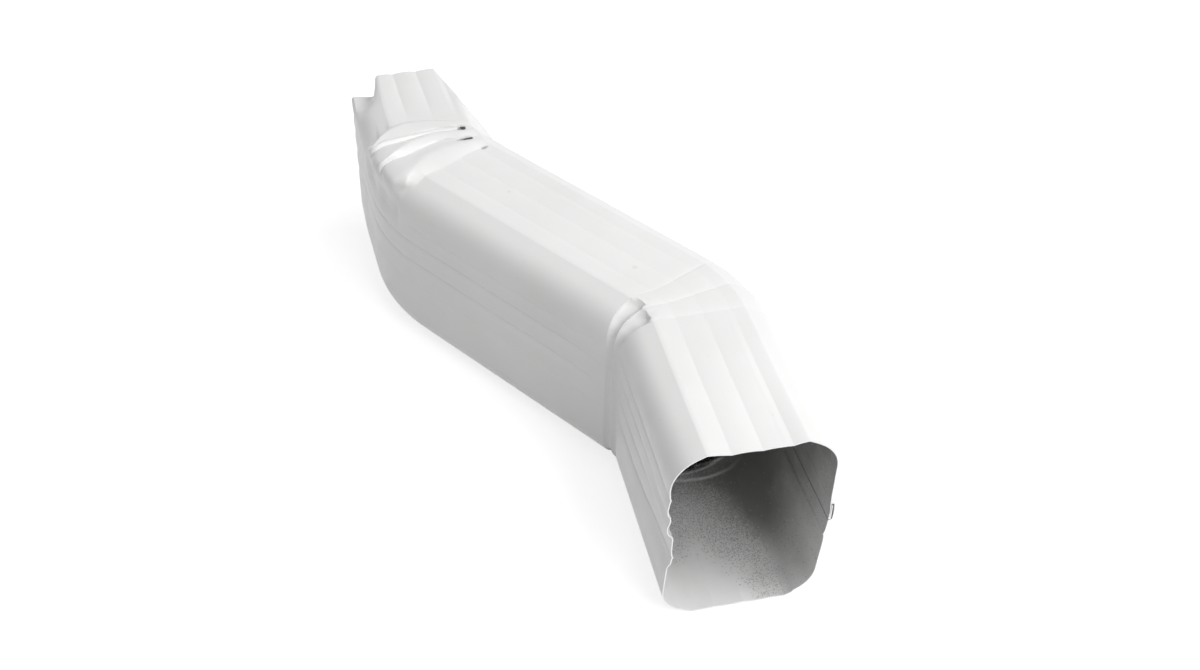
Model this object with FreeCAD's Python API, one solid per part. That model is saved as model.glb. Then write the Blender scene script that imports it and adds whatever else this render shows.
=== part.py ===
import FreeCAD, Part
import math
import os

# Fluted sheet tube, measured over the ridges of its flutes
TUBE_WIDTH = 82.0
TUBE_HEIGHT = 109.0
SHEET = 0.6

# Corners: a round bend off the tall wall, then a flat facet that meets the narrow wall in a crisp edge
CORNER_RADIUS = 17.8
FACET_WIDTH = 6.7
FACET_SLOPE = 25.0

# Flutes: shallow V grooves rolled along the sheet, shallower where the bends stretched them
FLUTE_DEPTH = 1.4
NARROW_FLUTES = 3
TALL_FLUTES = 4
TALL_FLUTE_PITCH = 13.4
TALL_FLUTE_START = 9.0
NEAR_BEND_FLUTES = 0.6
FAR_BEND_FLUTES = 0.2

# Lock seam: both edges of the sheet hooked together and pressed flat
SEAM_WIDTH = 12.0
SEAM_HEIGHT = 1.8
SEAM_MIDDLE = 58.5
SEAM_LIP = 1.2

# Path of the tube: near leg, bend to the left, middle leg, bend to the right, far leg
NEAR_LEG = 97.3
NEAR_BEND_ANGLE = 34.4
NEAR_THROAT_RADIUS = 20.5
MIDDLE_LEG = 150.6
FAR_BEND_ANGLE = 30.8
FAR_THROAT_RADIUS = 27.6
FAR_LEG = 75.6

# Folds: a crease is a narrow groove, and the sheet inside it bends on a wider curve
FOLD_HALF_WIDTH = 0.7
FOLD_THICKENING = 0.5

# Near bend: tight folds pressed into the throat, fading towards the heel
NEAR_FOLDS = (2.0, 15.5, 29.0)
NEAR_FOLD_DEPTH = 7.0
NEAR_HEEL_DEPTH = 0.4
NEAR_RING_BULGE = 0.9

# Far bend: soft pleats across the cheeks. Each rises from its foot to a crest, and the crests sweep
# back towards the heel. Places are angles about the pivot, measured from the end of the middle leg.
PLEAT_FEET = (4.6, 21.0, 31.0, 34.6)
PLEAT_CRESTS = (14.6, 28.4, 33.7, 40.1)
CREST_SWEEPS = (7.0, 7.8, 1.8, 6.6)
FOOT_SWEEPS = (0.0, 2.0, 1.4, 1.8)
PLEAT_HEIGHTS = (4.0, 3.6, 2.6, 1.0)
PLEAT_RUN_OUT = 3.5
PLEAT_FALL_TO_THROAT = 0.7
UNDERSIDE_SHARE = 0.25
FOOT_DEPTHS = (0.0, 1.8, 0.5, 2.2)
TUCK_DEPTH = 3.0
PIT_DEPTH = 3.0
PIT_WIDTH = 8.0
PIT_PLACE = 15.5

# Crimped far end: the corners are pushed in so that it slips into the next tube
CRIMP_LENGTH = 34.0
CRIMP_DEPTH = 13.0
CRIMP_SLOPE = 2.0
CRIMP_NECK = 1.8
CRIMP_FLUTES = 0.5

# The corner above the seam isn't pushed in but pressed flat, from the far bend to the rim
FLAT_ANGLE = 32.5
FLAT_DEPTH_AT_BEND = 9.0
FLAT_DEPTH_AT_RIM = 15.7

CORNER_STEPS = 4
CRIMP_STEPS = 3


def smooth(value):
    value = min(max(value, 0.0), 1.0)
    return value * value * (3.0 - 2.0 * value)


def unit(x, y):
    length = math.hypot(x, y)
    return x / length, y / length


# The outline of the tube is drawn in (u, v): u across the narrow walls, v up the tall walls.
# It runs anticlockwise, and each point carries the direction that faces out of the tube.


def corner_width():
    turned = math.radians(90.0 - FACET_SLOPE)
    return CORNER_RADIUS * (1.0 - math.cos(turned)) + FACET_WIDTH * math.sin(turned)


def corner_height():
    turned = math.radians(90.0 - FACET_SLOPE)
    return CORNER_RADIUS * math.sin(turned) + FACET_WIDTH * math.cos(turned)


def corner(sign_u, sign_v, crimp):
    """One corner, from its plain form (crimp 0) to a step pushed into the tube (crimp 1)."""
    middle_v = TUBE_HEIGHT / 2.0
    round_points = []
    for index in range(CORNER_STEPS + 1):
        turned = math.radians((90.0 - FACET_SLOPE) * index / CORNER_STEPS)
        u = TUBE_WIDTH / 2.0 - CORNER_RADIUS * (1.0 - math.cos(turned))
        v = middle_v - corner_height() + CORNER_RADIUS * math.sin(turned)
        round_points.append((u, v, math.cos(turned), math.sin(turned)))
    round_points.append((TUBE_WIDTH / 2.0 - corner_width(), middle_v, 0.0, 1.0))
    steps = []
    for index, (u, v, face_u, face_v) in enumerate(round_points):
        step = step_point(index / (CORNER_STEPS + 1.0))
        u += crimp * (step[0] - u)
        v += crimp * (step[1] - v)
        steps.append((sign_u * u, middle_v + sign_v * v, sign_u * face_u, sign_v * face_v))
    return steps


def step_point(share):
    """A point along the pushed-in corner: off the tall wall, along the ledge and up the riser."""
    half = TUBE_WIDTH / 2.0
    middle_v = TUBE_HEIGHT / 2.0
    ledge = middle_v - CRIMP_DEPTH
    riser = half - corner_width()
    path = [(half, ledge - 2.0), (half - 2.0, ledge), (riser + 3.0, ledge - CRIMP_SLOPE),
            (riser, ledge + 2.0 - CRIMP_SLOPE), (riser, middle_v - 3.0), (riser - 1.0, middle_v - 0.8)]
    place = share * (len(path) - 1)
    index = min(int(place), len(path) - 2)
    rest = place - index
    return (path[index][0] + rest * (path[index + 1][0] - path[index][0]),
            path[index][1] + rest * (path[index + 1][1] - path[index][1]))


def narrow_wall(sign_v, depth):
    """A narrow wall, whose flutes share out the room between its corners evenly."""
    v = TUBE_HEIGHT / 2.0 * (1.0 + sign_v)
    room = TUBE_WIDTH - 2.0 * corner_width()
    points = []
    for index in range(1, 2 * NARROW_FLUTES):
        u = sign_v * room * (0.5 - index / (2.0 * NARROW_FLUTES))
        groove = depth if index % 2 else 0.0
        points.append((u, v - sign_v * groove, 0.0, sign_v))
    return points


def tall_flutes(depth):
    """Heights and depths down a tall wall: a ridge of full size beside each V groove."""
    first = TUBE_HEIGHT - corner_height() - TALL_FLUTE_START
    places = [(first + TALL_FLUTE_PITCH / 2.0, 0.0)]
    for index in range(TALL_FLUTES):
        places.append((first - index * TALL_FLUTE_PITCH, depth))
        places.append((first - (index + 0.5) * TALL_FLUTE_PITCH, 0.0))
    return places


def left_wall(depth):
    half = TUBE_WIDTH / 2.0
    return [(-half + groove, v, -1.0, 0.0) for v, groove in tall_flutes(depth)]


def right_wall(depth, seam):
    """The wall with the lock seam, which takes the place of the flutes in its middle."""
    half = TUBE_WIDTH / 2.0
    places = tall_flutes(depth)[::-1]
    low = SEAM_MIDDLE - SEAM_WIDTH / 2.0
    high = SEAM_MIDDLE + SEAM_WIDTH / 2.0
    wall = [(half - groove, v, 1.0, 0.0) for v, groove in places if v < low - SEAM_LIP]
    wall.append((half, low, 1.0, 0.0))
    wall.append((half + seam, low + SEAM_LIP, 1.0, 0.0))
    wall.append((half + seam, high - SEAM_LIP, 1.0, 0.0))
    wall.append((half, high, 1.0, 0.0))
    wall += [(half - groove, v, 1.0, 0.0) for v, groove in places if v > high + SEAM_LIP]
    return wall


def flattened(u, v, depth):
    """Moves what stands out beyond the flat of the pressed corner back onto it."""
    lean_u = math.cos(math.radians(FLAT_ANGLE))
    lean_v = math.sin(math.radians(FLAT_ANGLE))
    corner_reach = math.hypot(corner_width() * lean_u, corner_height() * lean_v)
    reach = (u - TUBE_WIDTH / 2.0 + corner_width()) * lean_u + (v - TUBE_HEIGHT + corner_height()) * lean_v
    beyond = max(0.0, reach - corner_reach + depth)
    return u - beyond * lean_u, v - beyond * lean_v


def outline(crimp, flat, seam, fluting):
    """The closed outline of the tube, anticlockwise from the lower right corner."""
    flute = FLUTE_DEPTH * (1.0 - crimp * (1.0 - CRIMP_FLUTES))
    points = []
    points += corner(1.0, -1.0, crimp)[::-1]
    points += right_wall(flute, seam)
    points += corner(1.0, 1.0, 0.0)
    points += narrow_wall(1.0, flute * fluting)
    points += corner(-1.0, 1.0, crimp)[::-1]
    points += left_wall(flute)
    points += corner(-1.0, -1.0, crimp)
    points += narrow_wall(-1.0, flute * fluting)
    neck = 1.0 - crimp * CRIMP_NECK / (TUBE_WIDTH / 2.0)
    drawn = []
    for u, v, face_u, face_v in points:
        flat_u, flat_v = flattened(u, v, flat)
        drawn.append((flat_u * neck, flat_v, face_u, face_v))
    return drawn


def moved_in(points, distance):
    """The same closed outline, a distance further inside, parallel to every side of it."""
    inner = []
    count = len(points)
    for index in range(count):
        before = points[index - 1]
        here = points[index]
        after = points[(index + 1) % count]
        first = unit(here[0] - before[0], here[1] - before[1])
        second = unit(after[0] - here[0], after[1] - here[1])
        normal = unit(-first[1] - second[1], first[0] + second[0])
        lean = max(0.5, -normal[0] * first[1] + normal[1] * first[0])
        inner.append((here[0] + normal[0] * distance / lean, here[1] + normal[1] * distance / lean))
    return inner


def near_push(u, amount):
    """How far a fold (below zero) or a ring (above zero) of the near bend moves a point of the outline."""
    from_heel = max(0.0, TUBE_WIDTH / 2.0 - u) / TUBE_WIDTH
    if amount < 0.0:
        return amount * (NEAR_HEEL_DEPTH + (NEAR_FOLD_DEPTH - NEAR_HEEL_DEPTH) * from_heel ** 2)
    return amount * NEAR_RING_BULGE * smooth(2.0 * from_heel - 0.8)


class Section:
    """A flat cut across a straight leg: where it stands, which way it faces and how it is crimped."""

    def __init__(self, x, y, angle, crimp=0.0, flat=0.0, fluting=1.0):
        self.x = x
        self.y = y
        self.angle = math.radians(angle)
        self.crimp = crimp
        self.flat = flat
        self.fluting = fluting

    def push(self, u, v, face_u, face_v):
        return 0.0

    def place(self, u, v, outer_u):
        x = self.x + u * math.cos(self.angle)
        y = self.y + u * math.sin(self.angle)
        return FreeCAD.Vector(x, y, v)

    def wire(self, inset):
        seam = SEAM_HEIGHT if inset == 0.0 else 0.0
        points = []
        for u, v, face_u, face_v in outline(self.crimp, self.flat, seam, self.fluting):
            push = self.push(u, v, face_u, face_v)
            points.append((u + face_u * push, v + face_v * push))
        outer_us = [u for u, v in points]
        if inset > 0.0:
            points = moved_in(points, inset)
        corners = [self.place(u, v, outer_u) for (u, v), outer_u in zip(points, outer_us)]
        return Part.makePolygon(corners + corners[:1])


class NearFold(Section):
    """A cut through the near bend's pivot, or a shift beside it, with a fold or a ring pressed in."""

    def __init__(self, angle, amount, shift):
        slant = max(-angle, angle - NEAR_BEND_ANGLE, 0.0)
        self.stretch = 1.0 / math.cos(math.radians(slant))
        turn = math.radians(angle)
        reach = (NEAR_THROAT_RADIUS + TUBE_WIDTH / 2.0) * self.stretch
        x = near_pivot()[0] + reach * math.cos(turn)
        y = near_pivot()[1] + reach * math.sin(turn)
        x, y = along(x, y, angle, shift)
        super().__init__(x, y, angle, fluting=NEAR_BEND_FLUTES)
        self.amount = amount

    def push(self, u, v, face_u, face_v):
        return near_push(u, self.amount)

    def place(self, u, v, outer_u):
        return super().place(u * self.stretch, v, outer_u)


class PleatLine(Section):
    """A line across the far bend along the foot, the slope or the crest of a pleat.

    Its angle about the pivot changes across the narrow walls, because the crests sweep back.
    """

    def __init__(self, turn, sweep, height, drift=0.0, pit=0.0, tuck=0.0):
        flat = FLAT_DEPTH_AT_BEND * smooth(turn / (PLEAT_CRESTS[-1] + PLEAT_RUN_OUT))
        super().__init__(0.0, 0.0, 0.0, flat=flat, fluting=FAR_BEND_FLUTES)
        self.turn = turn
        self.sweep = sweep
        self.height = height
        self.drift = drift
        self.pit = pit
        self.tuck = tuck

    def push(self, u, v, face_u, face_v):
        half = TUBE_WIDTH / 2.0
        from_heel = min(max(0.0, (u + half) / TUBE_WIDTH), 1.0)
        on_cheek = smooth(1.6 * abs(face_v) - 0.1)
        if self.height > 0.0:
            upper = UNDERSIDE_SHARE + (1.0 - UNDERSIDE_SHARE) * smooth(v / TUBE_HEIGHT)
            level = self.height * upper * (1.0 - PLEAT_FALL_TO_THROAT * from_heel)
        else:
            level = self.height * from_heel
        level -= self.pit * PIT_DEPTH * smooth(1.0 - abs(u - PIT_PLACE) / PIT_WIDTH)
        return on_cheek * level - (1.0 - on_cheek) * self.tuck * TUCK_DEPTH * from_heel ** 3

    def place(self, u, v, outer_u):
        half = TUBE_WIDTH / 2.0
        to_heel = max(0.0, -outer_u / (half - 5.0))
        to_throat = smooth((outer_u - 5.0) / 11.0)
        turn = self.turn - self.sweep * min(to_heel, 1.0) ** 1.5 - self.drift * to_throat
        angle = NEAR_BEND_ANGLE - turn
        slant = max(turn - FAR_BEND_ANGLE, 0.0)
        reach = (FAR_THROAT_RADIUS + half - u) / math.cos(math.radians(slant))
        x = far_pivot()[0] - reach * math.cos(math.radians(angle))
        y = far_pivot()[1] - reach * math.sin(math.radians(angle))
        return FreeCAD.Vector(x, y, v)


def along(x, y, angle, distance):
    """The point a distance further along the tube, which points away from +Y by the angle."""
    turn = math.radians(angle)
    return x - distance * math.sin(turn), y + distance * math.cos(turn)


def near_pivot():
    return -TUBE_WIDTH / 2.0 - NEAR_THROAT_RADIUS, NEAR_LEG


def far_pivot():
    reach = NEAR_THROAT_RADIUS + TUBE_WIDTH + FAR_THROAT_RADIUS
    turn = math.radians(NEAR_BEND_ANGLE)
    x, y = near_pivot()
    x, y = along(x, y, NEAR_BEND_ANGLE, MIDDLE_LEG)
    return x + reach * math.cos(turn), y + reach * math.sin(turn)


def near_bend(thickening):
    """Rings of full size with a narrow fold pressed in between each two."""
    width = FOLD_HALF_WIDTH + thickening
    cuts = []
    for index, fold in enumerate(NEAR_FOLDS):
        if index > 0:
            cuts.append(NearFold((fold + NEAR_FOLDS[index - 1]) / 2.0, 1.0, 0.0))
        cuts += [NearFold(fold, 0.0, -width), NearFold(fold, -1.0, 0.0), NearFold(fold, 0.0, width)]
    return cuts


def between(before, after, rise):
    """A line on the rounded slope between a foot and a crest."""
    low, high = sorted((before.height, after.height))
    return PleatLine((before.turn + after.turn) / 2.0, (before.sweep + after.sweep) / 2.0,
                     low + rise * (high - low), (before.drift + after.drift) / 2.0)


def far_bend():
    """Pleats that rise and fall between their feet, from the middle leg to the far leg."""
    lines = [PleatLine(0.0, 0.0, 0.0)]
    drifts = (0.0, 5.0, 0.0, 1.9)
    pits = (0.0, 1.0, 0.0, 1.0)
    for index, foot in enumerate(PLEAT_FEET):
        low = PleatLine(foot, FOOT_SWEEPS[index], -FOOT_DEPTHS[index], drifts[index], pits[index], 1.0)
        top = PleatLine(PLEAT_CRESTS[index], CREST_SWEEPS[index], PLEAT_HEIGHTS[index], 0.8 * drifts[index])
        if index > 0:
            lines.append(between(lines[-1], low, 0.75))
        lines += [low, between(low, top, 0.7), top]
    last = PLEAT_CRESTS[-1] + PLEAT_RUN_OUT
    return lines + [PleatLine(last, CREST_SWEEPS[-1], 0.0)]


def far_leg():
    """The far leg with its crimped end, which starts plain and ends with the corners pushed in."""
    radius = FAR_THROAT_RADIUS + TUBE_WIDTH / 2.0
    heading = NEAR_BEND_ANGLE - FAR_BEND_ANGLE
    turn = math.radians(heading)
    x = far_pivot()[0] - radius * math.cos(turn)
    y = far_pivot()[1] - radius * math.sin(turn)
    sections = []
    for step in range(CRIMP_STEPS + 1):
        share = step / CRIMP_STEPS
        place = along(x, y, heading, FAR_LEG - CRIMP_LENGTH * (1.0 - share))
        flat = FLAT_DEPTH_AT_BEND + (FLAT_DEPTH_AT_RIM - FLAT_DEPTH_AT_BEND) * share
        sections.append(Section(place[0], place[1], heading, crimp=share, flat=flat))
    return sections


def skin(inset, thickening):
    """One face of the sheet, from the near mouth to the crimped end."""
    sections = [Section(0.0, 0.0, 0.0)]
    sections += near_bend(thickening)
    sections += far_bend()
    sections += far_leg()
    wires = [section.wire(inset) for section in sections]
    return Part.makeLoft(wires, False, True), wires[0], wires[-1]


def rim(outer, inner):
    """The cut edge of the sheet at a mouth: a flat ring between the two outlines."""
    return Part.makeFace([outer, inner], "Part::FaceMakerBullseye")


def offset_elbow():
    outside, near_outer, far_outer = skin(0.0, 0.0)
    inside, near_inner, far_inner = skin(SHEET, FOLD_THICKENING)
    faces = outside.Faces + inside.Faces + [rim(near_outer, near_inner), rim(far_outer, far_inner)]
    shell = Part.makeShell(faces)
    shell.sewShape()
    elbow = Part.makeSolid(shell)
    if elbow.Volume < 0.0:
        elbow.reverse()
    return elbow


def stood(shape):
    """The part as it lies on a narrow wall: lowest point at height 0, middle of its plan at the origin."""
    box = shape.BoundBox
    shape.translate(FreeCAD.Vector(-box.Center.x, -box.Center.y, -box.ZMin))
    return shape


os.makedirs("parts", exist_ok=True)
elbow = stood(offset_elbow())
elbow.exportStep("parts/offset_elbow.step")
print("solids", len(elbow.Solids), "valid", elbow.isValid(), "closed", elbow.isClosed())
print("size", elbow.BoundBox.XLength, elbow.BoundBox.YLength, elbow.BoundBox.ZLength)
print("volume", elbow.Volume, "faces", len(elbow.Faces))
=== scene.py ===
import math

import bmesh
import bpy
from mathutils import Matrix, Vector


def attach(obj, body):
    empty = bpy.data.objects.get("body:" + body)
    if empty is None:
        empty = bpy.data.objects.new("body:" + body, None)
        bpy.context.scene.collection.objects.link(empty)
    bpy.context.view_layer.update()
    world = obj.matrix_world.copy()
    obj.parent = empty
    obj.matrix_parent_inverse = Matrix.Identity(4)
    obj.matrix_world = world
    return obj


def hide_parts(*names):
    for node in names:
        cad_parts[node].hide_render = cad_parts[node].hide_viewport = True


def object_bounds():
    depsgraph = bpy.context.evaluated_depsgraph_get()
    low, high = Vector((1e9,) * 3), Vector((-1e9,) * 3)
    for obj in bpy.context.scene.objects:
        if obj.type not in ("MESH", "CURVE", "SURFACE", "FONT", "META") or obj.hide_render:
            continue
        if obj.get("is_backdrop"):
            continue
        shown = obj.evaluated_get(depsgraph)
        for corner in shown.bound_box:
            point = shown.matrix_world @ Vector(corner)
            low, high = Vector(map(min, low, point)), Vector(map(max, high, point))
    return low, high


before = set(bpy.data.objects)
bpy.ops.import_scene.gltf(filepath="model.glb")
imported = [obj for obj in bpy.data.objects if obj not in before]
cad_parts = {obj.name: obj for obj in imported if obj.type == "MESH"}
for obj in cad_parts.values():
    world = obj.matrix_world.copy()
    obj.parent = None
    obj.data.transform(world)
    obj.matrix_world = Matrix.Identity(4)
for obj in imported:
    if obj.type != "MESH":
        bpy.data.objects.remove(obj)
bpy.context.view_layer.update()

# The camera looks down along the near leg, from the left.
camera_angles = (49.625, -1.430, -12.856)
bpy.ops.object.select_all(action="DESELECT")
bpy.ops.object.camera_add(location=(-0.13056, -0.61733, 0.57048),
                          rotation=[math.radians(angle) for angle in camera_angles])
camera = bpy.context.active_object
camera.name = "camera"
camera.data.lens = 42.98
camera.data.clip_start = 0.01
bpy.context.scene.camera = camera

# The elbow: one blank of white coated sheet, rolled with flutes, folded to a rectangular tube
# and locked along a seam on its right wall. It is bent to the left by three tight folds and
# back to the right by soft pleats, and its far end is crimped to slip into the next tube.
tube_width = 0.082
tube_height = 0.109
half = tube_width / 2.0
mid_height = tube_height / 2.0
sheet = 0.0006


def eased(value):
    """0 below 0, 1 above 1, and a soft slope in between."""
    value = min(max(value, 0.0), 1.0)
    return value * value * (3.0 - 2.0 * value)


def rising(value, start, length):
    """0 up to the start, rising softly to 1 over the length."""
    return eased((value - start) / length)


def falling(value, end, length):
    """1 at first, falling softly over the length to 0 at the end."""
    return eased((end - value) / length)


def hump(value, middle, width):
    """1 at the middle, falling softly to 0 on both sides."""
    return eased(1.0 - abs(value - middle) / width)


# Outline of the tube
# A point has its place across (u) and up (v), the way its wall faces and its share of each groove.
corner_radius = 0.0178
corner_steps = 10
facet = 0.0067
facet_slope = math.radians(25.0)
facet_shares = (0.4, 0.8, 0.94)
corner_turn = math.pi / 2.0 - facet_slope
corner_width = corner_radius * (1.0 - math.cos(corner_turn)) + facet * math.cos(facet_slope)
corner_height = corner_radius * math.sin(corner_turn) + facet * math.sin(facet_slope)


def corner(side, up):
    """A corner from the tall wall to the narrow wall: a round bend, a flat facet and a crisp edge."""
    points = []
    for step in range(corner_steps + 1):
        turn = step / corner_steps * corner_turn
        u = side * (half - corner_radius * (1.0 - math.cos(turn)))
        v = mid_height + up * (mid_height - corner_height + corner_radius * math.sin(turn))
        points.append((u, v, side * math.cos(turn), up * math.sin(turn), ()))
    for share in facet_shares:
        u = side * (half - corner_width + (1.0 - share) * facet * math.cos(facet_slope))
        v = mid_height + up * (mid_height - (1.0 - share) * facet * math.sin(facet_slope))
        turn = math.pi / 2.0 - facet_slope * (1.0 - share)
        points.append((u, v, side * math.cos(turn), up * math.sin(turn), ()))
    points.append((side * (half - corner_width), mid_height * (1.0 + up), 0.0, up, ()))
    return points


groove_reach = 0.0066
groove_line = 0.0008
groove_sides = (0.0004, 0.0008, 0.0020, 0.0042)
narrow_grooves = (-0.0128, 0.0022, 0.0170)
narrow_crispness = 0.0
tall_grooves = (0.0430, 0.0580, 0.0720, 0.0834)
tall_crispness = 0.35


def grooved(grooves, crisp, way):
    """Places along a wall, close together at its grooves, with the share of each groove's depth there."""
    places = list(grooves)
    for groove in grooves:
        for away in groove_sides:
            places += [groove - away, groove + away]
    ordered = sorted(grooves)
    for before, after in zip(ordered, ordered[1:]):
        places.append((before + after) / 2.0)
    places += [ordered[0] - groove_reach, ordered[-1] + groove_reach]
    points = []
    for place in sorted(places, key=lambda value: way * value):
        shares = []
        for groove in grooves:
            away = abs(place - groove)
            round_part = (1.0 - crisp) * max(0.0, 1.0 - away / groove_reach) ** 2
            shares.append(round_part + crisp * max(0.0, 1.0 - away / groove_line))
        points.append((place, shares))
    return points


seam_middle = 0.0585
seam_width = 0.012
seam_low = seam_middle - seam_width / 2.0
seam_high = seam_middle + seam_width / 2.0
seam_height = 0.0018
seam_bevel = 0.0007
seam_foot = 0.0004
seam_sink = 0.0002
seam_margin = 0.0015
share_above_seam = 0.15


def seam_wall():
    """The right wall, where the lock seam stands proud, with fainter flutes above it."""
    flutes = grooved(tall_grooves, tall_crispness, 1.0)
    foot = half - seam_sink
    shoulder = half + 0.6 * seam_height
    top = half + seam_height
    wall = [(half, v, shares) for v, shares in flutes if v < seam_low - seam_margin]
    wall += [(foot, seam_low - seam_foot, ()), (shoulder, seam_low, ()), (top, seam_low + seam_bevel, ()),
             (top, seam_middle, ()), (top, seam_high - seam_bevel, ()), (shoulder, seam_high, ()),
             (foot, seam_high + seam_foot, ())]
    faint = [(v, [share_above_seam * share for share in shares]) for v, shares in flutes]
    wall += [(half, v, shares) for v, shares in faint if v > seam_high + seam_margin]
    return [(u, v, 1.0, 0.0, shares) for u, v, shares in wall]


# The upper narrow wall has more points beside the far bend's pits and the near bend's scoops.
pit_sides = (0.0138, 0.0115)
scoop_side = -0.0222
upper = grooved(narrow_grooves, narrow_crispness, -1.0)
upper += [(u, ()) for u in pit_sides + (scoop_side,)]
profile = corner(1.0, -1.0)[::-1]
profile += seam_wall()
profile += corner(1.0, 1.0)
profile += [(u, tube_height, 0.0, 1.0, shares) for u, shares in sorted(upper, key=lambda point: -point[0])]
profile += corner(-1.0, 1.0)[::-1]
profile += [(-half, v, -1.0, 0.0, shares) for v, shares in grooved(tall_grooves, tall_crispness, -1.0)]
profile += corner(-1.0, -1.0)
profile += [(u, 0.0, 0.0, -1.0, shares) for u, shares in grooved(narrow_grooves, narrow_crispness, 1.0)]

# Plan of the tube
# Both bends are in the level plane, and each turns about a pivot on its throat's side.
mouth = Vector((0.05439, -0.18439, 0.00086))
near_leg = 0.0973
near_bend = math.radians(34.4)
near_throat = 0.0205
middle_leg = 0.1506
far_bend_degrees = 30.8
far_bend = math.radians(far_bend_degrees)
far_throat = 0.0276
far_leg = 0.0756


def onward(x, y, heading, distance):
    """The place reached from x, y by going a distance along a heading."""
    return x - distance * math.sin(heading), y + distance * math.cos(heading)


near_pivot = (-half - near_throat, near_leg)
bend_end = onward(near_pivot[0], near_pivot[1], near_bend, middle_leg)
pivot_gap = near_throat + tube_width + far_throat
far_pivot = (bend_end[0] + pivot_gap * math.cos(near_bend), bend_end[1] + pivot_gap * math.sin(near_bend))
last_heading = near_bend - far_bend

# Near bend
# Three folds fan out from the heel to the throat, where the sheet is scooped in between them.
near_folds = (2.0, 15.5, 29.0)
near_fold_spreads = (-0.5, 5.0, 9.0)
crease_depth = 0.0003
crease_before = 0.00045
crease_after = 0.004
cheek_swell = 0.0003
scoop_start = -0.0225
scoop_depth = 0.0028
throat_start = -0.036
throat_scoop_loss = 0.0012
ridge_height = 0.0012
ridge_middle = 0.004
ridge_reach = 0.042
ridge_slope = 0.003
floor_hump = 0.0010


def crease_at(share, shift):
    """The part of a crease's depth at a place: all on its line, gone soon before it and slowly after."""
    if shift < 0.0:
        return max(0.0, 1.0 + shift / crease_before)
    if shift > 0.0:
        return max(0.0, 1.0 - shift / crease_after) ** 2
    if share < 0.5:
        return max(0.0, 1.0 - share / 0.28) ** 2
    return max(0.0, (share - 0.97) / 0.03)


def floor_ridge(u, share, shift):
    """On the lower wall the first fold stands into the tube as a bowed ridge, with a hump beyond it."""
    across = falling(abs(u - ridge_middle), ridge_reach, 0.020)
    ridge = max(0.0, 1.0 + shift / ridge_slope) if shift < 0.0 else max(0.0, 1.0 - share / 0.12)
    raised = across * (ridge_height * ridge + floor_hump * hump(share, 0.4, 0.12))
    bowed = across * ridge * (0.010 * max(0.0, (u - 0.008) / 0.030) ** 2 - 0.0025)
    return raised, bowed


def near_point(u, v, face_u, face_v, station):
    """A point of the outline in the near bend: thin creases on the cheeks, with scoops pressed in between."""
    index, share, shift = station
    from_heel = max(0.0, (half - u) / tube_width)
    spread = rising(from_heel, 0.55, 0.4)
    angles = [angle + spread * more for angle, more in zip(near_folds, near_fold_spreads)]
    following = min(index + 1, len(angles) - 1)
    angle = angles[index] + share * (angles[following] - angles[index])
    belly = max(0.0, math.sin(math.pi * share))
    pressed = eased((scoop_start - u - 0.004 * (1.0 - belly ** 0.5) - 0.0015 * (1 - index)) / 0.0018)
    wall = falling(u, throat_start, 0.005)
    scoop = (scoop_depth * pressed - throat_scoop_loss * wall) * belly ** (0.6 + 0.5 * wall)
    raised, bowed = 0.0, 0.0
    if face_v < 0.0 and index == 0:
        raised, bowed = floor_ridge(u, share, shift)
    crease = crease_depth * crease_at(share, shift) * (1.0 - spread)
    out = cheek_swell * belly * (1.0 - pressed) - crease - (scoop + raised)
    turn = math.radians(angle)
    slant = max(-turn, turn - near_bend, 0.0)
    radius = (half + near_throat + u + face_u * out) / math.cos(slant)
    x = near_pivot[0] + radius * math.cos(turn)
    y = near_pivot[1] + radius * math.sin(turn)
    x, y = onward(x, y, turn, shift * (1.0 - 0.6 * spread) + bowed)
    return x, y, v + face_v * out


# Crimped end
# Three corners are turned in as steps, and the fourth is pressed flat at a slant.
crimp_depth = 0.013
crimp_start = 0.0416
crimp_length = 0.0340
crimp_neck = 0.0018
edge_pull = 0.0021
edge_margin = 0.0002
riser = half - corner_width
ledge = mid_height - crimp_depth
crimp_path = [(half, ledge - 0.0020), (half - 0.0006, ledge - 0.0006), (half - 0.0020, ledge),
              (riser + 0.008, ledge - 0.0014), (riser + 0.004, ledge - 0.0020),
              (riser + 0.0016, ledge - 0.0016), (riser + 0.0003, ledge - 0.0003),
              (riser, ledge + 0.003), (riser, mid_height - 0.0046),
              (riser - 0.0002, mid_height - 0.0022), (riser - 0.0008, mid_height - 0.0008)]
flat_start = 0.0356
flat_run = 0.040
bend_flat = 0.009
crimp_flat = 0.0067
pressed_width = 0.0164
pressed_height = 0.019
lean_u = math.cos(math.radians(32.5))
lean_v = math.sin(math.radians(32.5))
corner_reach = math.hypot(pressed_width * lean_u, pressed_height * lean_v)


def stepped(turn):
    """The place on the step's path at a share of the corner's turn. Its end twelfths stay at the ends."""
    place = min(max((turn * 12.0 - 1.0) / 10.0, 0.0), 1.0) * (len(crimp_path) - 1)
    first = min(int(place), len(crimp_path) - 2)
    rest = place - first
    before, after = crimp_path[first], crimp_path[first + 1]
    return before[0] + rest * (after[0] - before[0]), before[1] + rest * (after[1] - before[1])


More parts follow.
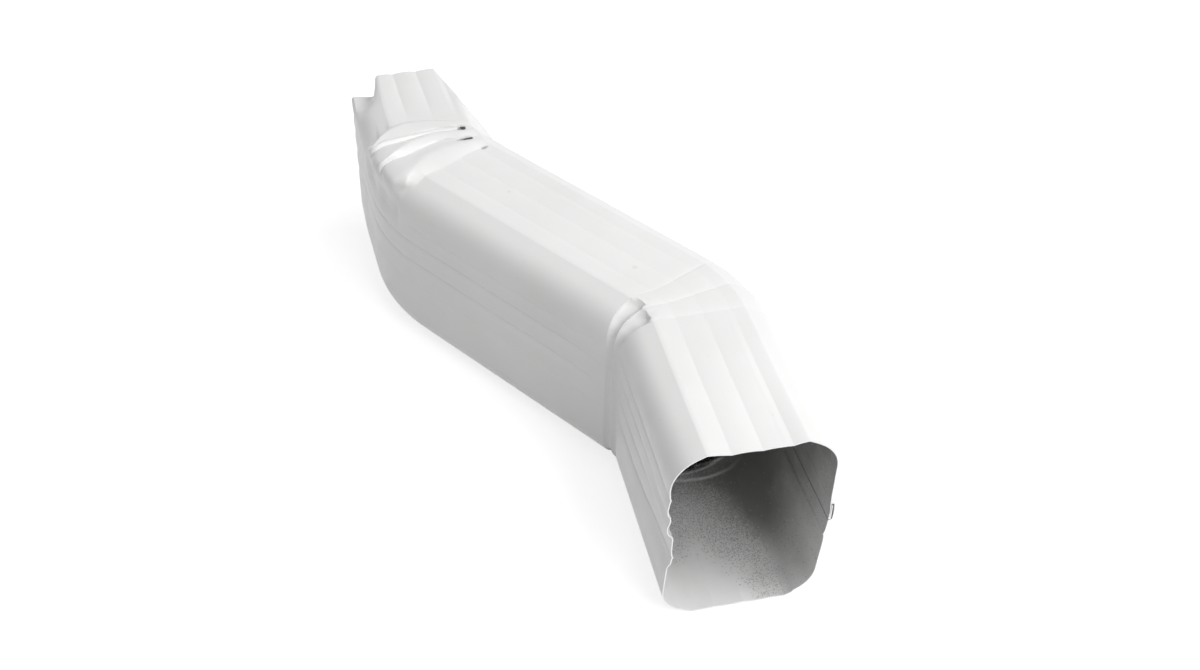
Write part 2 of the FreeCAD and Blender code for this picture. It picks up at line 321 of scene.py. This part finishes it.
def crimped(u, v, face_u, face_v, crimp, flat):
    """The crimp turns three corners in, presses the fourth flat and draws the tall walls together."""
    side = 1.0 if u > 0.0 else -1.0
    up = 1.0 if v > mid_height else -1.0
    turned_in = crimp > 0.0 and not (side > 0 and up > 0)
    if turned_in and 0.0 < abs(face_u) and 0.0 < abs(face_v):
        step_u, step_v = stepped(math.atan2(abs(face_v), abs(face_u)) / (math.pi / 2.0))
        u += crimp * (side * step_u - u)
        v += crimp * (mid_height + up * step_v - v)
    elif turned_in and face_u == 0.0 and abs(u) > half - corner_width - edge_margin:
        u -= crimp * side * edge_pull
    reach = (u - half + pressed_width) * lean_u + (v - tube_height + pressed_height) * lean_v
    beyond = max(0.0, reach - corner_reach + flat)
    u -= beyond * lean_u
    v -= beyond * lean_v
    return u * (1.0 - crimp * crimp_neck / half), v


# Far bend
# Four pleats run across the narrow walls. They stand out over the heel and fade towards the throat.
# Two narrow crevices between them are deepest in a pit on the right.
heel_lines = (far_bend_degrees, 25.2, 23.4, 14.6, 13.9, 12.9, 4.6, 3.8, 3.1, 0.2, -6.0)
crevices = (4, 8)
before_crevices = (3, 7)
crevice_drop = 2.0
pit_drop = 1.6
pit_middle = 15.0
swollen = (2, 5)
cushion_height = 0.0013
hollow_depth = 0.0027
underside_drop = 2.6
throat_relief = 0.0016


def pleat_lines(u):
    """Angle in degrees and height in millimetres of each line, from the middle leg to the crimped end."""
    left = -1000.0 * u
    right = 1000.0 * u
    leftward = max(0.0, left)
    tip = rising(left, 30.0, 8.0)
    throat = rising(right, 5.0, 11.0)
    foot = 26.9 - 1.8 * rising(right, -8.0, 18.0) - 1.8 * tip
    first_crest = 16.5 + 9.0 * (leftward / 36.0) ** 1.6 + 1.2 * throat
    first_crest = min(first_crest, foot - 0.8)
    first_valley = 7.2 + 5.2 * rising(left, -4.0, 32.0) + tip + 3.0 * throat
    first_crevice = first_valley - 0.6
    second_crest = 1.2 + 10.8 * (leftward / 34.0) ** 1.25 + 2.5 * rising(right, 6.0, 10.0)
    second_crest = min(second_crest, first_crevice - 0.7)
    second_valley = -1.6 + 4.8 * rising(left, -6.0, 38.0) + 1.2 * tip
    third_crest = second_valley - 1.3 + 0.5 * tip
    last_crevice = third_crest - 1.1 + 0.5 * tip + 0.6 * rising(right, 9.0, 7.0)
    last_crest = -10.0 + 9.6 * (leftward / 33.0) ** 2.3 + 0.8 * rising(right, 8.0, 14.0)
    last_crest = min(last_crest, last_crevice - 0.6)
    fade = falling(right, 26.0, 12.0)
    fuller = rising(left, 4.0, 20.0)
    plumper = rising(left, 6.0, 20.0)
    first_height = (2.2 + fuller) * fade * (1.0 - 0.5 * tip)
    second_height = (1.6 + fuller) * fade * (1.0 - 0.3 * tip)
    third_height = (0.9 + 0.9 * plumper) * fade
    last_height = (1.3 + 0.7 * plumper) * fade
    return [(far_bend_degrees, 0.0), (foot, 0.0), (first_crest, first_height),
            (first_valley, 0.2), (first_crevice, -0.3), (second_crest, second_height),
            (second_valley, 0.2), (third_crest, third_height), (last_crevice, third_height - 0.4),
            (last_crest, last_height), (last_crest - 3.5, 0.0)]


def pleat_height(u, start, finish, share):
    """The height between two lines: it bends sharply at the heel and softly towards the throat."""
    crisp = falling(u, -0.016, 0.014)
    sharp = 0.8 * share + 0.2 * (1.0 - math.cos(math.pi / 2.0 * share))
    fall = crisp * sharp + (1.0 - crisp) * 0.5 * (1.0 - math.cos(math.pi * share))
    rise = (1.0 - 0.4 * crisp) * math.sin(math.pi / 2.0 * share) + 0.4 * crisp * share
    swell = rise if finish > start else fall
    return start + swell * (finish - start)


def crevice_depth(u, index, share):
    """Depth in millimetres of the two crevices, which are deepest in a pit on the right."""
    right = 1000.0 * u
    pit = hump(right, pit_middle, 5.0)
    slit = crevice_drop * rising(right, -16.0, 28.0) * falling(right, 24.0, 8.0) + pit_drop * pit
    if index in crevices:
        return slit * eased(1.2 - share / (0.12 + 0.20 * pit))
    if index in before_crevices:
        return slit * rising(share, 0.84, 0.13)
    return 0.0


def filled(u, v, face_u, face_v, turn):
    """The pleats stand out over the heel corner, so that it is nearly square there."""
    if u > 0.0 or v < mid_height or face_u == 0.0 or face_v == 0.0:
        return u, v
    amount = falling(turn, 25.5, 5.0) * rising(turn, -7.0, 7.0)
    rounded = (math.atan2(face_v, -face_u) / (math.pi / 2.0)) ** 1.6 * math.pi / 2.0
    full_u = -half + pressed_width * (1.0 - max(0.0, math.cos(rounded)) ** 0.4)
    full_v = tube_height - pressed_height * (1.0 - math.sin(rounded) ** 0.4)
    return u + amount * (full_u - u), v + amount * (full_v - v)


def far_point(u, v, face_u, face_v, station):
    """A point of the outline in the far bend, on or between two of the pleats' lines."""
    index, share = station
    following = min(index + 1, len(heel_lines) - 1)
    straight = heel_lines[index] + share * (heel_lines[following] - heel_lines[index])
    u, v = filled(u, v, face_u, face_v, straight)
    lines = pleat_lines(u)
    start, finish = lines[index], lines[following]
    turn = start[0] + share * (finish[0] - start[0])
    height = pleat_height(u, start[1], finish[1], share) - crevice_depth(u, index, share)
    top = v > mid_height
    if top:
        over = rising(v, 0.101, 0.006)
    else:
        over = falling(v, 0.008, 0.006)
        height -= underside_drop * falling(turn, 29.0, 5.0) * rising(turn, -12.0, 6.0)
    if u < 0.0:
        turn += (1.0 - rising(over, 0.1, 0.6)) * (straight - turn)
        out = 0.001 * over * height
    else:
        throat = eased(abs(face_u))
        turn += throat * (straight - turn)
        out = 0.001 * (1.0 - throat) * height + throat_relief * throat * min(max(height, -1.5), 1.0)
    if u < 0.0 and top and face_u < 0.0:
        cushion = max(0.0, math.sin(math.pi * share)) if index in swollen else 0.0
        ring = falling(straight, 25.0, 4.0) * rising(straight, -6.0, 6.0)
        out += cushion_height * cushion * hump(v, 0.103, 0.008)
        out -= hollow_depth * ring * (1.0 - 0.3 * cushion) * hump(v, 0.0885, 0.015)
    angle = last_heading + math.radians(turn)
    slant = max(last_heading - angle, angle - near_bend, 0.0)
    flat = bend_flat * falling(turn, far_bend_degrees, 40.0)
    u, v = crimped(u, v, face_u, face_v, 0.0, flat)
    radius = (half + far_throat - u - face_u * out) / math.cos(slant)
    return far_pivot[0] - radius * math.cos(angle), far_pivot[1] - radius * math.sin(angle), v + face_v * out


# Straight legs
# The mouth's cut end isn't true: its left wall is knocked in and its upper edges stand up a little.
rim_side = 0.030
rim_top = 0.090
main_dent = 0.0030
left_dents = ((0.0012, 0.0690, 0.0050), (0.0008, 0.0250, 0.0120), (-0.0004, 0.0760, 0.0060))
right_bulge = 0.0008
right_lean = 0.0017
rim_lift = 0.0011


def worn_mouth(u, v, near):
    """The outline of the mouth, bent out of true by a share of the wear."""
    if u < -rim_side:
        knocked = main_dent * eased(1.9 * hump(v, 0.0475, 0.0165))
        for depth, height, reach in left_dents:
            knocked += depth * hump(v, height, reach)
        u += near * knocked
    if u > rim_side:
        u += near * (right_bulge * hump(v, 0.0580, 0.0120) - right_lean * falling(v, 0.046, 0.026))
    if v > rim_top:
        v += near * rim_lift * (hump(u, -0.0270, 0.0150) + hump(u, 0.0250, 0.0130))
    return u, v


def leg_point(u, v, face_u, face_v, station):
    """A point of the outline in one of the straight legs."""
    x, y, heading, crimp, flat, near = station
    u, v = worn_mouth(u, v, near)
    u, v = crimped(u, v, face_u, face_v, crimp, flat)
    return x + u * math.cos(heading), y + u * math.sin(heading), v


# Stations along the tube
# Each has its place and how deep the flutes are there, on the narrow walls and on the tall ones.
flute_depth = 0.0014
leg_flutes = (0.42, (0.7, 0.6, 0.5, 0.6))
bend_flutes = (0.12, (0.12, 0.15, 0.15, 0.12))
middle_flutes = (0.20, (0.35, 0.7, 0.7, 0.4))
pleat_flutes = (0.03, (0.2, 0.6, 0.6, 0.2))
far_flutes = (0.6, (0.5, 0.7, 0.7, 0.5))
near_places = (0.0, 0.004, 0.010, 0.018, 0.028, 0.044, 0.062, 0.076, 0.084, 0.090)
worn_length = 0.060
before_folds = (-0.0040, -0.0015, -0.0007, -0.00045, -0.0002)
between_folds = (0.0, 0.02, 0.06, 0.12, 0.2, 0.3, 0.4, 0.5, 0.6, 0.7, 0.8, 0.88, 0.94, 0.97, 0.985)
after_folds = (0.0, 0.0003, 0.0009, 0.0018, 0.0030, 0.0045)
middle_places = (0.009, 0.016, 0.026, 0.04, 0.06, 0.08, 0.10, 0.12, 0.135, 0.145)
between_pleats = (0.0, 0.06, 0.16, 0.24, 0.30, 0.38, 0.54, 0.72, 0.88, 0.96)
far_places = (0.027, 0.034, 0.040, 0.043, 0.046, 0.050, 0.054, 0.058, 0.062, 0.066, 0.070, 0.0735, far_leg)


def mixed(before, after, share):
    """The flutes' depths at a share of the way between two stations."""
    narrow = before[0] + share * (after[0] - before[0])
    return narrow, [first + share * (second - first) for first, second in zip(before[1], after[1])]


stations = []
for distance in near_places:
    narrow = mixed(leg_flutes, bend_flutes, rising(distance, 0.060, 0.034))[0]
    deeper = 1.0 + 0.8 * rising(distance, 0.006, 0.030)
    flutes = (narrow, [deeper * depth for depth in leg_flutes[1]])
    near = eased(1.0 - distance / worn_length)
    stations.append((leg_point, (0.0, distance, 0.0, 0.0, 0.0, near), flutes))
for shift in before_folds:
    stations.append((near_point, (0, 0.0, shift), bend_flutes))
last_fold = len(near_folds) - 1
for index in range(last_fold):
    for share in between_folds:
        stations.append((near_point, (index, share, 0.0), bend_flutes))
for shift in after_folds:
    stations.append((near_point, (last_fold, 0.0, shift), bend_flutes))
for distance in middle_places:
    x, y = onward(near_pivot[0], near_pivot[1], near_bend, distance)
    x += (half + near_throat) * math.cos(near_bend)
    y += (half + near_throat) * math.sin(near_bend)
    flutes = mixed(bend_flutes, middle_flutes, eased(distance / 0.030))
    stations.append((leg_point, (x, y, near_bend, 0.0, 0.0, 0.0), flutes))
last_line = len(heel_lines) - 1
for index in range(last_line):
    for share in between_pleats:
        flutes = mixed(middle_flutes, pleat_flutes, eased((index + share) / 1.5))
        stations.append((far_point, (index, share), flutes))
stations.append((far_point, (last_line, 0.0), pleat_flutes))
far_x = far_pivot[0] - (half + far_throat) * math.cos(last_heading)
far_y = far_pivot[1] - (half + far_throat) * math.sin(last_heading)
for distance in far_places:
    crimp = min(1.0, max(0.0, (distance - crimp_start) / crimp_length)) ** 1.1
    flat = bend_flat + crimp_flat * max(0.0, distance - flat_start) / flat_run
    flutes = mixed(pleat_flutes, far_flutes, rising(distance, 0.018, 0.022))
    place = onward(far_x, far_y, last_heading, distance) + (last_heading, crimp, flat, 0.0)
    stations.append((leg_point, place, flutes))


def stand(point, station):
    """The place in the row's frame of a point of the outline at a station along the tube."""
    u, v, face_u, face_v, shares = point
    placed, numbers, (narrow, tall) = station
    for index, share in enumerate(shares):
        depth = flute_depth * share * (narrow if face_v else tall[index])
        u -= face_u * depth
        v -= face_v * depth
    return mouth + Vector(placed(u, v, face_u, face_v, numbers))


def drawn_along(name, points, along):
    """Extrude an outline through every station, as the sheet runs from the mouth to the crimped end."""
    bpy.ops.object.select_all(action="DESELECT")
    bpy.ops.mesh.primitive_circle_add(vertices=len(points), radius=half, location=(0.0, 0.0, 0.0))
    drawn = bpy.context.active_object
    drawn.name = name
    bpy.ops.object.mode_set(mode="EDIT")
    mesh = bmesh.from_edit_mesh(drawn.data)
    number = mesh.verts.layers.int.new("number")
    mesh.verts.ensure_lookup_table()
    for index, vert in enumerate(mesh.verts):
        vert[number] = index
        vert.co = stand(points[index], along[0])
    bmesh.update_edit_mesh(drawn.data)
    bpy.ops.mesh.select_all(action="SELECT")
    for station in along[1:]:
        bpy.ops.mesh.extrude_region_move(TRANSFORM_OT_translate={"value": (0.0, 0.001, 0.0)})
        mesh = bmesh.from_edit_mesh(drawn.data)
        number = mesh.verts.layers.int["number"]
        for vert in mesh.verts:
            if vert.select:
                vert.co = stand(points[vert[number]], station)
        bmesh.update_edit_mesh(drawn.data)
    return drawn


# Inner edge of the lock seam
# The lower wall runs up behind the upper one and hooks back into the seam.
behind = half - 0.00075
hook = [(behind, seam_high + 0.0012), (behind, seam_middle), (behind, seam_low + 0.0012),
        (behind + 0.0004, seam_low + 0.0007), (half + 0.0003, seam_low + 0.0007),
        (half + 0.0006, seam_low + 0.0014), (half + 0.0006, seam_high - 0.0016),
        (half + 0.0003, seam_high - 0.0013), (half, seam_high - 0.0016), (half, seam_low + 0.0018),
        (behind + sheet, seam_low + 0.0020), (behind + sheet, seam_high + 0.0012)]
fold = drawn_along("seam_fold", [(u, v, 1.0, 0.0, ()) for u, v in hook], stations)
bpy.ops.mesh.select_all(action="DESELECT")
bpy.ops.mesh.select_mode(type="EDGE")
bpy.ops.mesh.select_non_manifold(extend=False)
bpy.ops.mesh.fill()
bpy.ops.mesh.select_mode(type="VERT")
bpy.ops.mesh.select_all(action="SELECT")
bpy.ops.mesh.normals_make_consistent(inside=False)
bpy.ops.object.mode_set(mode="OBJECT")

# The sheet
# It gets its thickness inwards, and has white enamel outside, grey primer with painted shade inside and bare
# cut edges.
slots = ("enamel", "inside", "edge")
inside_slot = slots.index("inside")
edge_slot = slots.index("edge")
cut_end = -0.18
elbow = drawn_along("elbow_sheet", profile, stations)
bpy.ops.mesh.select_all(action="SELECT")
bpy.ops.mesh.normals_make_consistent(inside=False)
bpy.ops.object.mode_set(mode="OBJECT")
wall = elbow.modifiers.new("wall", "SOLIDIFY")
wall.thickness = sheet
wall.offset = -1.0
wall.use_even_offset = False
wall.material_offset = inside_slot
wall.material_offset_rim = edge_slot
for slot in slots:
    coat = bpy.data.materials.new("sheet_" + slot)
    elbow.data.materials.append(coat)
    fold.data.materials.append(coat)
bpy.ops.object.modifier_apply(modifier="wall")
for face in fold.data.polygons:
    at_mouth = abs(face.normal.y) > 0.9 and face.center.y < cut_end
    face.material_index = edge_slot if at_mouth else inside_slot
bpy.ops.object.select_all(action="DESELECT")
fold.select_set(True)
elbow.select_set(True)
bpy.context.view_layer.objects.active = elbow
bpy.ops.object.join()
bpy.ops.object.shade_smooth_by_angle(angle=math.radians(35.0))
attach(elbow, "root")
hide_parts("offset_elbow")


# Specks and marks
# Specks are small, of an even size and strewn at random. A mark is a single round spot.
def linked(tree, source, target):
    """Join an output to an input."""
    tree.links.new(source, target)


def new_group(name, inputs, output):
    """A node group with its sockets, and the nodes where it begins and ends."""
    group = bpy.data.node_groups.new(name, "ShaderNodeTree")
    for label, kind in inputs:
        group.interface.new_socket(label, in_out="INPUT", socket_type="NodeSocket" + kind)
    group.interface.new_socket(output, in_out="OUTPUT", socket_type="NodeSocketFloat")
    return group, group.nodes.new("NodeGroupInput"), group.nodes.new("NodeGroupOutput")


def ranged(tree, value, span, to_span):
    """A value carried over from one span to another, and held at its ends."""
    made = tree.nodes.new("ShaderNodeMapRange")
    made.inputs["From Min"].default_value = span[0]
    made.inputs["From Max"].default_value = span[1]
    made.inputs["To Min"].default_value = to_span[0]
    made.inputs["To Max"].default_value = to_span[1]
    linked(tree, value, made.inputs["Value"])
    return made.outputs["Result"]


def combined(tree, operation, first, second):
    """Two values, of which either may be a plain number, put together."""
    made = tree.nodes.new("ShaderNodeMath")
    made.operation = operation
    for socket, value in ((made.inputs[0], first), (made.inputs[1], second)):
        if isinstance(value, float):
            socket.default_value = value
        else:
            linked(tree, value, socket)
    return made.outputs[0]


speck_inputs = (("Vector", "Vector"), ("Scale", "Float"), ("Share", "Float"))
specks, begin, end = new_group("specks", speck_inputs, "Speck")
cells = specks.nodes.new("ShaderNodeTexVoronoi")
split = specks.nodes.new("ShaderNodeSeparateColor")
linked(specks, begin.outputs["Vector"], cells.inputs["Vector"])
linked(specks, begin.outputs["Scale"], cells.inputs["Scale"])
linked(specks, cells.outputs["Color"], split.inputs["Color"])
dot = ranged(specks, cells.outputs["Distance"], (0.42, 0.25), (0.0, 1.0))
chosen = combined(specks, "LESS_THAN", split.outputs["Red"], begin.outputs["Share"])
linked(specks, combined(specks, "MULTIPLY", dot, chosen), end.inputs["Speck"])

mark_inputs = (("Vector", "Vector"), ("Middle", "Vector"), ("Radius", "Float"))
mark, begin, end = new_group("mark", mark_inputs, "Mark")
away = mark.nodes.new("ShaderNodeVectorMath")
away.operation = "DISTANCE"
fade = mark.nodes.new("ShaderNodeMapRange")
fade.inputs["To Min"].default_value = 1.0
fade.inputs["To Max"].default_value = 0.0
linked(mark, begin.outputs["Vector"], away.inputs[0])
linked(mark, begin.outputs["Middle"], away.inputs[1])
linked(mark, away.outputs["Value"], fade.inputs["Value"])
linked(mark, begin.outputs["Radius"], fade.inputs["From Max"])
linked(mark, fade.outputs["Result"], end.inputs["Mark"])


def coat_tree(slot):
    """The node tree, the shader and the place on the object for one of the sheet's coats."""
    coat = bpy.data.materials["sheet_" + slot]
    coat.use_nodes = True
    place = coat.node_tree.nodes.new("ShaderNodeTexCoord").outputs["Object"]
    return coat.node_tree, coat.node_tree.nodes["Principled BSDF"], place


def noise(tree, place, scale, detail):
    """Soft random patches, smaller where the scale is high."""
    made = tree.nodes.new("ShaderNodeTexNoise")
    made.inputs["Scale"].default_value = scale
    made.inputs["Detail"].default_value = detail
    linked(tree, place, made.inputs["Vector"])
    return made.outputs["Factor"] if "Factor" in made.outputs else made.outputs["Fac"]


def blended(tree, share, below, above):
    """The colour below where the share is 0, and the one above where it is 1."""
    made = tree.nodes.new("ShaderNodeMix")
    made.data_type = "RGBA"
    linked(tree, share, made.inputs["Factor"])
    for name, value in (("A", below), ("B", above)):
        socket = [item for item in made.inputs if item.name == name and item.type == "RGBA"][0]
        if isinstance(value, tuple):
            socket.default_value = value + (1.0,)
        else:
            linked(tree, value, socket)
    return [item for item in made.outputs if item.type == "RGBA"][0]


def speckled(tree, place, scale, share):
    """1 on a speck and 0 between, with more specks where the share is high."""
    made = tree.nodes.new("ShaderNodeGroup")
    made.node_tree = specks
    made.inputs["Scale"].default_value = scale
    linked(tree, place, made.inputs["Vector"])
    if isinstance(share, float):
        made.inputs["Share"].default_value = share
    else:
        linked(tree, share, made.inputs["Share"])
    return made.outputs["Speck"]


def spotted(tree, place, spots, covered):
    """Marks with a middle, radius and strength, laid over what is covered already."""
    for middle, radius, strength in spots:
        spot = tree.nodes.new("ShaderNodeGroup")
        spot.node_tree = mark
        spot.inputs["Middle"].default_value = middle
        spot.inputs["Radius"].default_value = radius
        linked(tree, place, spot.inputs["Vector"])
        dark = combined(tree, "MULTIPLY", spot.outputs["Mark"], strength)
        covered = combined(tree, "MAXIMUM", covered, dark)
    return covered


def distance_from(tree, place, middle):
    """How far a place is from the middle of an arc."""
    made = tree.nodes.new("ShaderNodeVectorMath")
    made.operation = "DISTANCE"
    made.inputs[1].default_value = middle
    linked(tree, place, made.inputs[0])
    return made.outputs["Value"]


# White enamel
# Faintly cloudy and satin, with the odd dark speck and the marks of handling on top. The near-black spots at
# the ends of the far bend's crevices are painted shade, standing in for the shadow inside the pits.
dull_white = (0.80, 0.80, 0.795)
clear_white = (0.84, 0.84, 0.835)
mark_grey = (0.16, 0.16, 0.155)
painted_pit_shade = (0.015, 0.015, 0.015)
marks = (((-0.0213, 0.0395, 0.1100), 0.0016, 0.16), ((-0.0467, 0.0769, 0.1125), 0.0016, 0.7),
         ((0.0315, -0.0414, 0.1105), 0.0022, 0.2), ((-0.0283, 0.0858, 0.1100), 0.0017, 0.8),
         ((-0.0272, 0.0864, 0.1100), 0.0017, 0.9), ((-0.0261, 0.0871, 0.1100), 0.0015, 0.7))
# Painted shade: near-black spots where the far bend's crevices end in pits.
painted_pit_shadows = (((-0.0368, 0.1088, 0.1112), 0.0025, 3.0), ((-0.0390, 0.1083, 0.1112), 0.0018, 2.0),
        ((-0.0348, 0.0975, 0.1112), 0.0030, 3.0), ((-0.0372, 0.0970, 0.1112), 0.0024, 2.5),
        ((-0.0393, 0.0966, 0.1112), 0.0021, 1.6), ((-0.0412, 0.0962, 0.1112), 0.0018, 0.9),
        ((-0.0272, 0.1020, 0.1105), 0.0012, 0.9), ((-0.0258, 0.1012, 0.1103), 0.0010, 0.8))
tree, shader, place = coat_tree("enamel")
cloud = ranged(tree, noise(tree, place, scale=16.0, detail=4.0), (0.35, 0.65), (0.0, 1.0))
dust = combined(tree, "MULTIPLY", speckled(tree, place, scale=900.0, share=0.003), 0.10)
colour = blended(tree, cloud, dull_white, clear_white)
colour = blended(tree, spotted(tree, place, marks, dust), colour, mark_grey)
# The pits are darkened here with painted shade.
colour = blended(tree, spotted(tree, place, painted_pit_shadows, 0.0), colour, painted_pit_shade)
satin = ranged(tree, noise(tree, place, scale=130.0, detail=3.0), (0.3, 0.7), (0.32, 0.46))
skin = tree.nodes.new("ShaderNodeBump")
skin.inputs["Strength"].default_value = 0.06
skin.inputs["Distance"].default_value = 0.0004
linked(tree, noise(tree, place, scale=260.0, detail=4.0), skin.inputs["Height"])
linked(tree, colour, shader.inputs["Base Color"])
linked(tree, satin, shader.inputs["Roughness"])
linked(tree, skin.outputs["Normal"], shader.inputs["Normal"])

# Inside of the sheet
# White near the mouth gives way to grey, darker with depth, height and to the right. This is partly overspray
# giving way to grey primer and partly painted shade of the tube's inside. There are dark and pale specks.
# Past the near bend it is painted nearly black on the left, as painted shadow.
overspray = (0.95, 0.95, 0.945)
primer_and_shade_grey = (0.30, 0.30, 0.295)
painted_shadow_black = (0.02, 0.02, 0.02)
speck_dark = (0.05, 0.05, 0.05)
pale_speck_and_highlight = (0.95, 0.95, 0.94)
folds_below = (((0.048, -0.040, 0.0), 0.0525, 0.0012, 0.6), ((0.057, -0.0503, 0.0), 0.0473, 0.0017, 0.95))
tree, shader, place = coat_tree("inside")
parts = tree.nodes.new("ShaderNodeSeparateXYZ")
linked(tree, place, parts.inputs["Vector"])
across, depth, height = parts.outputs["X"], parts.outputs["Y"], parts.outputs["Z"]
# Painted shade: the inside darkens with depth into the tube, with height and towards the right wall.
deep = ranged(tree, depth, (-0.1790, -0.0890), (0.0, 0.75))
high = ranged(tree, height, (0.0, 0.1), (0.0, 0.55))
uneven = ranged(tree, noise(tree, place, scale=30.0, detail=5.0), (0.3, 0.7), (-0.10, 0.10))
aside = ranged(tree, across, (0.045, 0.084), (0.0, 0.52))
aside = combined(tree, "SUBTRACT", aside, ranged(tree, across, (0.085, 0.094), (0.0, 0.22)))
primer_and_painted_shade = combined(tree, "ADD", combined(tree, "ADD", deep, high), combined(tree, "ADD", uneven, aside))
primer_and_painted_shade = ranged(tree, primer_and_painted_shade, (0.20, 0.95), (0.0, 1.0))
colour = blended(tree, primer_and_painted_shade, overspray, primer_and_shade_grey)
flattened = tree.nodes.new("ShaderNodeCombineXYZ")
linked(tree, across, flattened.inputs["X"])
linked(tree, depth, flattened.inputs["Y"])
plan = flattened.outputs["Vector"]

# The first fold on the floor bounds a painted shadow: beyond it the left floor is painted nearly black. Both
# folds show as thin pale arcs of painted highlight.
left = ranged(tree, across, (0.066, 0.086), (1.0, 0.0))
floor_left = combined(tree, "MULTIPLY", ranged(tree, height, (0.010, 0.020), (1.0, 0.0)), left)
first_middle, first_radius = folds_below[0][:2]
shadowed_past_fold = ranged(tree, distance_from(tree, plan, first_middle), (first_radius, first_radius - 0.003), (0.0, 1.0))
# Painted shadow: past the first fold the left floor turns nearly black.
colour = blended(tree, combined(tree, "MULTIPLY", shadowed_past_fold, left), colour, painted_shadow_black)
# Painted highlight: thin pale arcs along the lit crests of the two folds on the floor.
for middle, radius, width, strength in folds_below:
    away = combined(tree, "SUBTRACT", distance_from(tree, plan, middle), radius)
    off = combined(tree, "ABSOLUTE", away, 0.0)
    painted_highlight_arc = combined(tree, "MULTIPLY", ranged(tree, off, (0.0, width), (strength, 0.0)), floor_left)
    colour = blended(tree, painted_highlight_arc, colour, pale_speck_and_highlight)
thick = combined(tree, "MULTIPLY", ranged(tree, primer_and_painted_shade, (0.05, 0.35), (0.0, 1.0)),
                 ranged(tree, primer_and_painted_shade, (0.55, 0.95), (1.0, 0.1)))
patchy = ranged(tree, noise(tree, place, scale=45.0, detail=3.0), (0.3, 0.6), (0.25, 1.0))
thick = combined(tree, "MULTIPLY", thick, patchy)
thick = combined(tree, "MULTIPLY", thick, ranged(tree, across, (0.062, 0.082), (1.0, 0.05)))
dark = speckled(tree, place, scale=1500.0, share=combined(tree, "MULTIPLY", thick, 2.0))
pale = speckled(tree, place, scale=1730.0, share=combined(tree, "MULTIPLY", thick, 2.4))
colour = blended(tree, combined(tree, "MULTIPLY", dark, 0.85), colour, speck_dark)
colour = blended(tree, pale, colour, pale_speck_and_highlight)
dull = ranged(tree, noise(tree, place, scale=60.0, detail=3.0), (0.3, 0.7), (0.42, 0.62))
linked(tree, colour, shader.inputs["Base Color"])
linked(tree, dull, shader.inputs["Roughness"])

# Cut edge
# Bare metal, bright and finely scratched by the shears.
tree, shader, place = coat_tree("edge")
worn = ranged(tree, noise(tree, place, scale=900.0, detail=3.0), (0.35, 0.65), (0.0, 1.0))
linked(tree, blended(tree, worn, (0.86, 0.86, 0.86), (0.97, 0.97, 0.97)), shader.inputs["Base Color"])
linked(tree, ranged(tree, worn, (0.0, 1.0), (0.28, 0.45)), shader.inputs["Roughness"])
shader.inputs["Metallic"].default_value = 0.35


# Floor and room
# The floor is a wide pale sheet, and it and the room are plain white to the eye and in reflections.
def in_sight(tree):
    """1 for rays from the camera, off mirrors and through glass, and 0 for the light on the elbow."""
    path = tree.nodes.new("ShaderNodeLightPath")
    mirrored = combined(tree, "MAXIMUM", path.outputs["Is Glossy Ray"], path.outputs["Is Transmission Ray"])
    return combined(tree, "MAXIMUM", path.outputs["Is Camera Ray"], mirrored)


floor_glow = 0.68
room_light = 0.44
bpy.ops.object.select_all(action="DESELECT")
bpy.ops.mesh.primitive_plane_add(size=12.0, location=(0.0, 0.0, 0.0))
floor = bpy.context.active_object
floor.name = "floor"
white = bpy.data.materials.new("white_floor")
white.use_nodes = True
tree = white.node_tree
shader = tree.nodes["Principled BSDF"]
shader.inputs["Base Color"].default_value = (0.61, 0.61, 0.61, 1.0)
shader.inputs["Roughness"].default_value = 0.9
shader.inputs["Emission Color"].default_value = (1.0, 1.0, 1.0, 1.0)
linked(tree, combined(tree, "MULTIPLY", in_sight(tree), floor_glow), shader.inputs["Emission Strength"])
floor.data.materials.append(white)
floor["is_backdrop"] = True

world = bpy.data.worlds.new("room")
bpy.context.scene.world = world
world.use_nodes = True
tree = world.node_tree
background = tree.nodes["Background"]
background.inputs["Color"].default_value = (1.0, 1.0, 1.0, 1.0)
linked(tree, ranged(tree, in_sight(tree), (0.0, 1.0), (room_light, 1.0)), background.inputs["Strength"])

# Soft studio light
# A wide panel is overhead to the right, and a smaller, weaker one is in front of the mouth.
lamps = (("key_light", (0.90, -0.22, 1.48), (0.90, -0.22, 1.43), 1.2, 15.8),
         ("fill_light", (0.42, -1.15, 1.10), (0.37, -0.97, 1.05), 0.6, 5.8))
for name, place, backwards, size, energy in lamps:
    bpy.ops.object.light_add(type="AREA", location=place)
    lamp = bpy.context.active_object
    lamp.name = name
    lamp.data.shape = "DISK"
    lamp.data.size = size
    lamp.data.energy = energy
    lamp.rotation_euler = Vector(backwards).to_track_quat("Z", "Y").to_euler()

bpy.context.scene.view_settings.view_transform = "Standard"

low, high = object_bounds()
